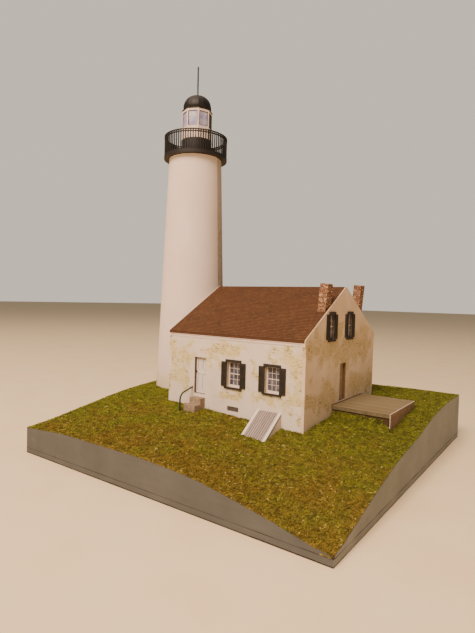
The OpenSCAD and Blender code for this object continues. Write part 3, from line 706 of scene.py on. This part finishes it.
# The attic windows' print is mounted on a pad, which brings it forward in its opening.
PAD = 0.9 * MM
prints = [(m @ at(0, PAD + MM / 2, WINDOW_H / 2), (ATTIC_W, MM, WINDOW_H)) for m in attic_places]
blocks("attic_window_prints", prints, dark_panes)
sashes("attic_sash_bars", attic_places, ATTIC_W, PAD)
cream_edge, *_ = card("cream_cut_card_edge", ["#B4A488", "#C6B79C", "#D2C4AC"], mottle=2)
linings("front_window_reveals", front_places, WINDOW_W, WINDOW_H, cream_edge)
linings("back_window_reveals", back_places, WINDOW_W, WINDOW_H, cream_edge)
linings("attic_window_reveals", attic_places, ATTIC_W, WINDOW_H, shaded_brown_edge)

# Shutters, head boards and sills: card painted a dark olive, with scored slats in each shutter.
olive_paint, *_ = card("dark_olive_shutter_card", ["#231F19", "#2A261F", "#332D24"],
    roughness=0.75, mottle=3)
dress(olive_paint, "front_shutters", "back_shutters", "attic_shutters")
SHUTTER_W = 4.0 * MM
SHUTTER_T = 0.6 * MM
SHUTTER_FOOT = 0.4 * MM
SHUTTER_H = 15.3 * MM
SHUTTER_STILE = 0.6 * MM
SLAT_PITCH = 0.75 * MM
SLAT_TILT = math.radians(28)


def slats(name, places, wide):
    """Frames and slats on both shutters of each window."""
    laid = []
    inner = SHUTTER_W - 2 * SHUTTER_STILE
    for matrix in places:
        for side in (-1, 1):
            leaf = matrix @ at(side * (wide + SHUTTER_W) / 2, -SHUTTER_T, SHUTTER_FOOT)
            for edge in (-1, 1):
                x = edge * (SHUTTER_W - SHUTTER_STILE) / 2
                laid.append((leaf @ at(x, 0, SHUTTER_H / 2), (SHUTTER_STILE, 0.24 * MM, SHUTTER_H)))
            for z in (0.5 * MM, SHUTTER_H / 2, SHUTTER_H - 1.1 * MM):
                laid.append((leaf @ at(0, 0, z), (inner, 0.24 * MM, 0.9 * MM)))
            for k in range(int((SHUTTER_H - 1.6 * MM) / SLAT_PITCH)):
                slat = leaf @ at(0, 0, 1.1 * MM + k * SLAT_PITCH) @ spun("X", SLAT_TILT)
                laid.append((slat, (inner, 0.1 * MM, SLAT_PITCH * 0.8)))
    return blocks(name, laid, olive_paint)


slats("front_shutter_slats", front_places, WINDOW_W)
slats("back_shutter_slats", back_places, WINDOW_W)
slats("attic_shutter_slats", attic_places, ATTIC_W)

# Cellar vent: a slatted card in grey-brown print, set back in its slot under the left window.
vent_print, *_ = card("grey_brown_vent_print", ["#4C443C", "#6A6058", "#7C7268"], mottle=1.5)
dress(vent_print, "cellar_vent")

# ----------
# Front steps: two boxes of card with a print of pale worn stone, mottled and a little rough.
stone_print, *_ = card("worn_stone_print", ["#80705A", "#927F67", "#A29078"], mottle=2.4,
    fibre=0.7, depth=0.06)
dress(stone_print, "front_steps")

# Handrail: one bent length of wire dipped in dark green enamel, thin and a little glossy.
green_enamel, tree, shader, dip = paint("dark_green_enamel", 0.35, 500, 3,
    [(0.3, "#0E2A1C"), (0.7, "#1C4630")], IOR=1.52)
sag = add(tree, "Bump", {"Height": dip, "Strength": 0.4, "Distance": 0.1 * MM})
feed(shader, {"Normal": sag})


def tube(name, path, radius, material, sides=14):
    """A round wire along a path that lies in a plane of Y and Z."""
    points = []
    side = Vector((1, 0, 0))
    for k, p in enumerate(path):
        way = (path[min(k + 1, len(path) - 1)] - path[max(k - 1, 0)]).normalized()
        over = side.cross(way)
        for s in range(sides):
            a = 2 * math.pi * s / sides
            points.append(p + radius * (math.cos(a) * side + math.sin(a) * over))
    return rings(name, points, sides, material)


rail_low, rail_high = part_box("handrail")
RAIL_R = 0.55 * MM
RAIL_BEND_R = 5 * MM
RAIL_BEND = math.radians(75)
rail_x = (rail_low.x + rail_high.x) / 2
rail_y = rail_low.y + RAIL_R
end_z = rail_high.z - RAIL_R / math.sin(RAIL_BEND)
run_y = wall_front - (rail_y + RAIL_BEND_R * (1 - math.cos(RAIL_BEND)))
bend_z = end_z - run_y / math.tan(RAIL_BEND) - RAIL_BEND_R * math.sin(RAIL_BEND)
route = [(rail_y, rail_low.z + (bend_z - rail_low.z) * k / 6) for k in range(6)]
for k in range(13):
    a = RAIL_BEND * k / 12
    route.append((rail_y + RAIL_BEND_R * (1 - math.cos(a)), bend_z + RAIL_BEND_R * math.sin(a)))
route.append((wall_front, end_z))
rail = tube("bent_handrail", [Vector((rail_x, y, z)) for y, z in route], RAIL_R, green_enamel)
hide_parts("handrail")

# ----------
# Cellar hatch: a sloping door of narrow planks between two pale side strips, on white cheeks.
cheek_card, *_ = card("whitewashed_cheek_card", ["#C9B8A2", "#D6C7B4", "#DDCFBE"], mottle=6)
dress(cheek_card, "hatch_sides")
# The door card between the planks is dark violet-grey: painted shade in the grooves.
groove_shade_card, *_ = card("shadowed_groove_card", ["#6E6268", "#7E7278"], mottle=4)
dress(groove_shade_card, "hatch_door")
strip_card, *_ = card("pale_edge_strip_card", ["#E2D4C6", "#EADFD3"], mottle=5)
dress(strip_card, "hatch_rails")


def board_print(name, roughness, shades, stretch, scale, detail, span, strength, depth):
    """Print of wood with its grain drawn out along the boards, each board in its own shade."""
    material, tree, shader, place = surface(name, roughness)
    tone = add(tree, "Attribute", {}, out="Fac", attribute_name="tone")
    wood = add(tree, "ValToRGB", {"Fac": tone}, stops=zip((0.0, 0.5, 1.0), shades))
    lengthwise = add(tree, "Mapping", {"Vector": place, "Scale": stretch})
    grain = add(tree, "TexNoise", {"Vector": lengthwise, "Scale": scale, "Detail": detail})
    grained = add(tree, "MapRange", (grain, *span))
    colour = add(tree, "VectorMath", (wood, grained), operation="MULTIPLY")
    ridged = add(tree, "Bump", {"Height": grain, "Strength": strength, "Distance": depth * MM})
    feed(shader, {"Base Color": colour, "Normal": ridged})
    return material


plank_print = board_print("pale_plank_print", 0.85, ["#A6988C", "#B2A496", "#BCAD9F"],
    (1, 0.08, 0.08), 3000, 3, (0.35, 0.65, 0.9, 1.04), 0.3, 0.03)
hatch_low, hatch_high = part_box("hatch_door")
hatch_rail_low, hatch_rail_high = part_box("hatch_rails")
hatch_run = hatch_high.y - hatch_low.y
HATCH_RAIL_W = 1.7 * MM
HATCH_RAIL_T = 0.6 * MM
hatch_rise = hatch_rail_high.z - hatch_rail_low.z - HATCH_RAIL_T
hatch_angle = math.atan2(hatch_rise, hatch_run)
hatch_length = math.hypot(hatch_rise, hatch_run)
hatch_z = hatch_rail_high.z - HATCH_RAIL_T - hatch_rise / 2
hatch_middle = at((hatch_low.x + hatch_high.x) / 2, (hatch_low.y + hatch_high.y) / 2, hatch_z) \
    @ spun("X", hatch_angle)
HATCH_PLANKS = 9
plank_w = (hatch_high.x - hatch_low.x - 2 * HATCH_RAIL_W) / HATCH_PLANKS
draw = np.random.default_rng(71)
planks = []
for k in range(HATCH_PLANKS):
    x = (k - (HATCH_PLANKS - 1) / 2) * plank_w
    planks.append((hatch_middle @ at(x, 0, 0.12 * MM),
        (plank_w - 0.75 * MM, hatch_length, 0.3 * MM), draw.random()))
blocks("hatch_planks", planks, plank_print, bevel=0.05 * MM)

# ----------
# Porch deck: weathered boards laid away from the gable, on a darker boarded skirt. The boards
# are grey-brown print with dark joints; the slab's outer edge shows a line of white cut card.
deck_low, deck_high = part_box("deck_boards")
deck_print = board_print("weathered_board_print", 0.88, ["#766848", "#7F7150", "#897B5A"],
    (0.07, 1, 1), 2600, 4, (0.35, 0.66, 0.88, 1.04), 0.5, 0.05)
fascia_card, *_ = card("grey_brown_fascia_print", ["#5A5238", "#685E44", "#746A4E"], mottle=3)
dress(fascia_card, "deck_boards")
BOARD_W = 1.7 * MM
deck_run = deck_high.y - deck_low.y
deck_mid = (deck_high.y + deck_low.y) / 2
count = int(deck_run / BOARD_W)
pitch = deck_run / count
draw = np.random.default_rng(72)
boards = []
for k in range(count):
    y = deck_low.y + (k + 0.5) * pitch
    boards.append((at((deck_low.x + deck_high.x) / 2, y, deck_high.z + 0.06 * MM),
        (deck_high.x - deck_low.x, pitch - 0.14 * MM, 0.2 * MM), draw.random()))
blocks("deck_planking", boards, deck_print, bevel=0.04 * MM)
skirt_print, *_ = card("dark_skirt_print", ["#33260F", "#463418", "#544022"], mottle=3)
dress(skirt_print, "deck_skirt")

# The deck's right side is one folded flap of red-brown boards, with its cut edges left white.
skirt_low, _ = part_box("deck_skirt")
flap_print, *_ = card("red_brown_flap_print", ["#84644A", "#967658", "#A48468"], mottle=2.4)
FLAP_T = 0.25 * MM
flap_foot = skirt_low.z + 3 * MM
flap_h = deck_high.z - flap_foot
flap_x = deck_high.x + FLAP_T / 2
blocks("deck_flap", [(at(flap_x, deck_mid, flap_foot + flap_h / 2), (FLAP_T, deck_run, flap_h))],
    flap_print)
blocks("deck_cut_edges", [
    (at(flap_x, deck_mid, deck_high.z + 0.1 * MM), (0.3 * MM, deck_run, 0.22 * MM)),
    (at(flap_x, deck_low.y, flap_foot + flap_h / 2), (0.26 * MM, 0.16 * MM, flap_h))],
    strip_card)
# A dark strip along the foot of the gable wall: painted shadow in the joint between deck and wall.
shade_line, *_ = card("shadowed_deck_joint", ["#4A3A26", "#5C4A34"], mottle=2)
blocks("deck_joint", [(at(house_high.x + 0.35 * MM, deck_mid, deck_high.z + 0.2 * MM),
    (0.7 * MM, deck_run, 0.5 * MM))], shade_line)

# Scatter is heaped against the deck's front, up to the underside of its boards.
draw = np.random.default_rng(48)
heap = []
for _ in range(6000):
    x = draw.uniform(deck_low.x + 0.3 * MM, deck_high.x + 0.2 * MM)
    back = draw.uniform(0, 1)
    spot = ground(x, skirt_low.y - (0.4 + 3.6 * back) * MM)
    if spot:
        fall = min(max((deck_high.x - x) / (5 * MM), 0.4), 1)
        rise = max(deck_low.z - spot.z - 0.9 * MM, 0) * (1 - back) * draw.uniform(0, fall)
        heap.append((x, spot.y, spot.z + rise))
scatter("turf_heaped_at_deck", np.array(heap), CRUMB, (0.25, 0.22, 0.2), (0.7, 0.6, 0.5),
    (0.0, 0.4), 0.5, 49, (2.4, 2.4))

# ----------
# Tower: one sheet of white card rolled into a cone and lapped on itself. The lap's edge runs up
# the side by the house, and the plaster print shows through beside it, mottled olive-brown.
TOWER_SEAM = math.radians(4)
SHEET_T = 0.3 * MM
shaft_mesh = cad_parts["tower_shaft"].data
top_ring = [v.co for v in shaft_mesh.vertices if v.co.z > tower_high.z - 0.01 * MM]
shaft_top_r = max(math.hypot(c.x - tower_x, c.y - tower_y) for c in top_ring)
AROUND = 240
UP = 24
points = []
faces = []
for k in range(UP + 1):
    t = k / UP
    z = tower_low.z + (tower_high.z - tower_low.z) * t
    r = tower_foot_r + (shaft_top_r - tower_foot_r) * t
    for s in range(AROUND + 1):
        lift = SHEET_T * (s / AROUND - 1)
        a = TOWER_SEAM + 2 * math.pi * s / AROUND
        points.append((tower_x + (r + lift) * math.cos(a), tower_y + (r + lift) * math.sin(a), z))
row = AROUND + 1
for k in range(UP):
    for s in range(AROUND):
        n = k * row + s
        faces.append((n, n + 1, n + row + 1, n + row))
    n = k * row
    faces.append((n + AROUND, n, n + row, n + row + AROUND))
tower_white, tree, shader, place, colour = card(
    "rolled_white_card", ["#E4D2C4", "#E8D7CA", "#ECDCD0"], roughness=0.8, mottle=30, fibre=0.7)
centred = add(tree, "VectorMath", (place, (tower_x, tower_y, 0)), operation="SUBTRACT")
turned = add(tree, "VectorRotate", {"Vector": centred, "Angle": -TOWER_SEAM},
    rotation_type="Z_AXIS")
east, north, height = (add(tree, "SeparateXYZ", (turned,), out=axis) for axis in "XYZ")
angle = add(tree, "Math", (north, east), operation="ARCTAN2")
after_seam = add(tree, "MapRange", (angle, 0.0, 0.02))
before_end = add(tree, "MapRange", (angle, 1.1, 0.75))
strip = add(tree, "Math", (after_seam, before_end), operation="MULTIPLY")
high_up = add(tree, "MapRange", (height, 0.185, 0.150))
strip_up = add(tree, "Math", (strip, high_up), operation="MULTIPLY")
blots = add(tree, "TexNoise", {"Vector": place, "Scale": 300, "Detail": 6, "Roughness": 0.7})
blotted = add(tree, "MapRange", (blots, 0.42, 0.62, 0, 0.75))
olive = add(tree, "Math", (blotted, strip_up), operation="MULTIPLY")
# The whole strip past the lap is also greyed: partly a greyer print, partly painted shade on the
# side turned from the lamp.
greyed_and_shaded = add(tree, "Math", (strip, 0.6), operation="MULTIPLY")
low_down = add(tree, "MapRange", (height, 0.060, 0.028))
foot_noise = add(tree, "TexNoise", {"Vector": place, "Scale": 160, "Detail": 7, "Roughness": 0.68})
foot_worn = add(tree, "Math", (low_down, foot_noise), operation="MULTIPLY")
foot_stain = add(tree, "MapRange", (foot_worn, 0.24, 0.42, 0, 0.8))
for cover, shade in ((olive, "#9C8C66"), (greyed_and_shaded, "#A29280"), (foot_stain, "#D8C8A0")):
    colour = add(tree, "Mix", {0: cover, 6: colour, 7: linear(shade)}, out=2, data_type="RGBA")
feed(shader, {"Base Color": colour})
shaft = piece("rolled_tower_card", points, faces, tower_white, smooth=True)
split_edge = shaft.modifiers.new("crisp lap", "EDGE_SPLIT")
split_edge.split_angle = math.radians(50)
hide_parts("tower_shaft")

# ----------
# Gallery: a disc of black card with a ring of fine black railing cut from card, glued upright.
black_card, *_ = card("matt_black_card", ["#0E0B0A", "#151210", "#1D1916"], roughness=0.65,
    mottle=4)
dress(black_card, "gallery_deck", "gallery_railing", "lantern_drum", "lantern_roof")

# ----------
# Lantern: an eight-sided white card box. Each window is printed in a pale violet sky gradient
# with a fine dark line round it, and the card bands above and below are plain white.
lantern_low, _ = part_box("lantern_frame")
drum_low, drum_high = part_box("lantern_drum")
lantern_x, lantern_y = (drum_low.x + drum_high.x) / 2, (drum_low.y + drum_high.y) / 2
dress(white_card, "lantern_frame")
sky_print, tree, shader, place = surface("violet_sky_print", 0.3)
tone = add(tree, "Attribute", {}, out="Fac", attribute_name="tone")
haze = add(tree, "TexNoise", {"Vector": place, "Scale": 170, "Detail": 2})
pane = add(tree, "ValToRGB", {"Fac": haze}, stops=[(0.35, "#7E7EB8"), (0.5, "#A4A3C2"),
    (0.65, "#C0BED0")])
painted_shade_pane = add(tree, "ValToRGB", {"Fac": haze}, stops=[(0.35, "#1C1C34"), (0.65, "#34344E")])
printed = add(tree, "Mix", {0: tone, 6: painted_shade_pane, 7: pane}, out=2, data_type="RGBA")
feed(shader, {"Base Color": printed})
pane_backing, *_ = card("violet_pane_backing", ["#8E8EAE", "#A6A5BC"], mottle=5)
dress(pane_backing, "lantern_panes")
LANTERN_R = 11.7 * MM
LANTERN_TURN = math.radians(0.5)
PANE_SILL = 9.4 * MM
PANE_H = 11 * MM
POST = 0.75 * MM
WALL = 0.8 * MM
OUTLINE = 0.42 * MM
flat_r = LANTERN_R * math.cos(math.pi / 8)
side_w = 2 * LANTERN_R * math.sin(math.pi / 8) - 2 * POST
pane_sheets = []
outlines = []
# The first side's window is printed dark: painted shade on the side turned from the lamp.
for k in range(8):
    a = LANTERN_TURN + math.pi / 8 + k * math.pi / 4
    face = at(lantern_x, lantern_y, lantern_low.z + PANE_SILL + PANE_H / 2) \
        @ spun("Z", a) @ spun("Z", math.pi / 2)
    pane_lit = 0.0 if k == 0 else 1.0
    pane_sheets.append((face @ at(0, -(flat_r - WALL * 0.75), 0), (side_w, 0.2 * MM, PANE_H), pane_lit))
    out = -(flat_r - WALL * 0.45)
    for edge in (-1, 1):
        outlines.append((face @ at(edge * (side_w / 2 - OUTLINE / 2), out, 0),
            (OUTLINE, 0.2 * MM, PANE_H)))
        outlines.append((face @ at(0, out, edge * (PANE_H / 2 - OUTLINE / 2)),
            (side_w, 0.2 * MM, OUTLINE)))
blocks("lantern_window_prints", pane_sheets, sky_print)
ink_line, *_ = card("dark_ink_line", ["#2A2428", "#3A3238"], mottle=2)
blocks("lantern_window_lines", outlines, ink_line)

# ----------
# Dome: sixteen gores of black paper drawn together over a former. Each gore is nearly flat
# across, so the joints show as faint creases; towards the top the black turns brown in mottled
# patches, a painted highlight of the paper's satin sheen.
dome_low, dome_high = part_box("dome")
dome_paper, tree, shader, place = surface("satin_black_paper", 0.55)
crown = add(tree, "SeparateXYZ", (place,), out="Z")
crown_highlight = add(tree, "MapRange", (crown, dome_low.z + 4 * MM, dome_high.z))
mottle = add(tree, "TexNoise", {"Vector": place, "Scale": 300, "Detail": 5})
painted_sheen = add(tree, "Math", (crown_highlight, mottle), operation="MULTIPLY")
feed(shader, {"Base Color": add(tree, "ValToRGB", {"Fac": painted_sheen},
    stops=[(0.0, "#0B0908"), (0.3, "#15110E"), (0.65, "#2E2118")])})
tooth = add(tree, "TexNoise", {"Vector": place, "Scale": 2000, "Detail": 2})
feed(shader, {"Normal": add(tree, "Bump", {"Height": tooth, "Strength": 0.3,
    "Distance": 0.03 * MM})})
DOME_SKIRT = 2.8 * MM
SHOULDER_R = 9 * MM
dome_r = (dome_high.x - dome_low.x) / 2
GORES = 16


def gore(a):
    """How far in a gored dome lies from its round outline at an angle."""
    off = (a % (2 * math.pi / GORES)) - math.pi / GORES
    flat = math.cos(math.pi / GORES) / math.cos(off)
    return 0.25 + 0.75 * flat


profile = [(dome_r, 0.0), (dome_r, DOME_SKIRT)]
for k in range(1, 19):
    a = math.pi / 2 * k / 18
    profile.append((dome_r - SHOULDER_R * (1 - math.cos(a)), DOME_SKIRT + SHOULDER_R * math.sin(a)))
dome = lathe("gored_dome", profile, at(lantern_x, lantern_y, dome_low.z), dome_paper,
    GORES * 8, gore)
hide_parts("dome")

# Spire: a length of wire in dark blue-green enamel, with a bead of glue where it leaves the dome.
teal_enamel, *_ = paint("dark_teal_enamel", 0.4, 400, 3, [(0.3, "#0C2A30"), (0.7, "#1A4650")],
    IOR=1.52)
spire_low, spire_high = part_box("spire")
SPIRE_R = 0.65 * MM
spire_h = spire_high.z - spire_low.z
wire = [(1.05 * MM, 0.0), (1.1 * MM, 0.2 * MM), (0.95 * MM, 0.5 * MM), (0.7 * MM, 0.62 * MM),
    (SPIRE_R, 0.8 * MM), (SPIRE_R, 8 * MM), (SPIRE_R, 16 * MM), (SPIRE_R, spire_h - 0.15 * MM),
    (SPIRE_R * 0.6, spire_h)]
spire = lathe("wire_spire", wire, at(lantern_x, lantern_y, spire_low.z), teal_enamel,
    20)
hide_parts("spire")

# ----------
# Table, lights and camera: a plain pale table top, a large soft lamp high in front of the
# house, a wide weak one overhead to the left, and the room's even light.
table_top, *_ = paint("pale_laminate_table", 0.55, 30, 4, [(0.3, "#F9E0B4"), (0.7, "#FDE8C0")])
REACH = 6.0
floor_mesh = bpy.data.meshes.new("table_top")
floor_mesh.from_pydata([(-REACH, -REACH, 0), (REACH, -REACH, 0), (REACH, REACH, 0),
    (-REACH, REACH, 0)], [], [(0, 1, 2, 3)])
floor_mesh.materials.append(table_top)
floor = bpy.data.objects.new("table_top", floor_mesh)
bpy.context.scene.collection.objects.link(floor)


def lamp(name, place, target, size, power, shade):
    """A square soft lamp that faces a point."""
    light = bpy.data.lights.new(name, "AREA")
    light.shape = "SQUARE"
    light.size = size
    light.energy = power
    light.color = linear(shade)[:3]
    obj = bpy.data.objects.new(name, light)
    obj.location = place
    obj.rotation_euler = (Vector(target) - Vector(place)).to_track_quat("-Z", "Y").to_euler()
    bpy.context.scene.collection.objects.link(obj)


lamp("soft_key", (0.08, -1.08, 1.1), (0, 0, 0.08), 0.75, 36, "#FFE0C8")
lamp("soft_overhead", (-0.35, -0.1, 1.4), (0, 0, 0.05), 1.5, 9, "#FFE3CA")
world = bpy.data.worlds.new("pale_room")
world.use_nodes = True
tree = world.node_tree
seen_first = add(tree, "LightPath", {}, out="Is Camera Ray")
strength = add(tree, "MapRange", (seen_first, 0, 1, 0.33, 0.9))
feed(tree.nodes["Background"], {"Color": linear("#F0E2D2"), "Strength": strength})
bpy.context.scene.world = world

CAMERA_PLACE = (0.1721, -0.2723, 0.0984)
YAW = 0.6237
PITCH = -0.0351
ROLL = 0.0262
ahead = Vector((-math.sin(YAW) * math.cos(PITCH), math.cos(YAW) * math.cos(PITCH),
    math.sin(PITCH)))
level = Vector((math.cos(YAW), math.sin(YAW), 0))
upright = level.cross(ahead)
right = math.cos(ROLL) * level + math.sin(ROLL) * upright
top = -math.sin(ROLL) * level + math.cos(ROLL) * upright
camera = bpy.data.objects.new("camera", bpy.data.cameras.new("camera"))
camera.data.sensor_width = 36
camera.data.lens = 26.81
camera.matrix_world = at(*CAMERA_PLACE) @ Matrix((right, top, -ahead)).transposed().to_4x4()
bpy.context.scene.collection.objects.link(camera)
bpy.context.scene.camera = camera
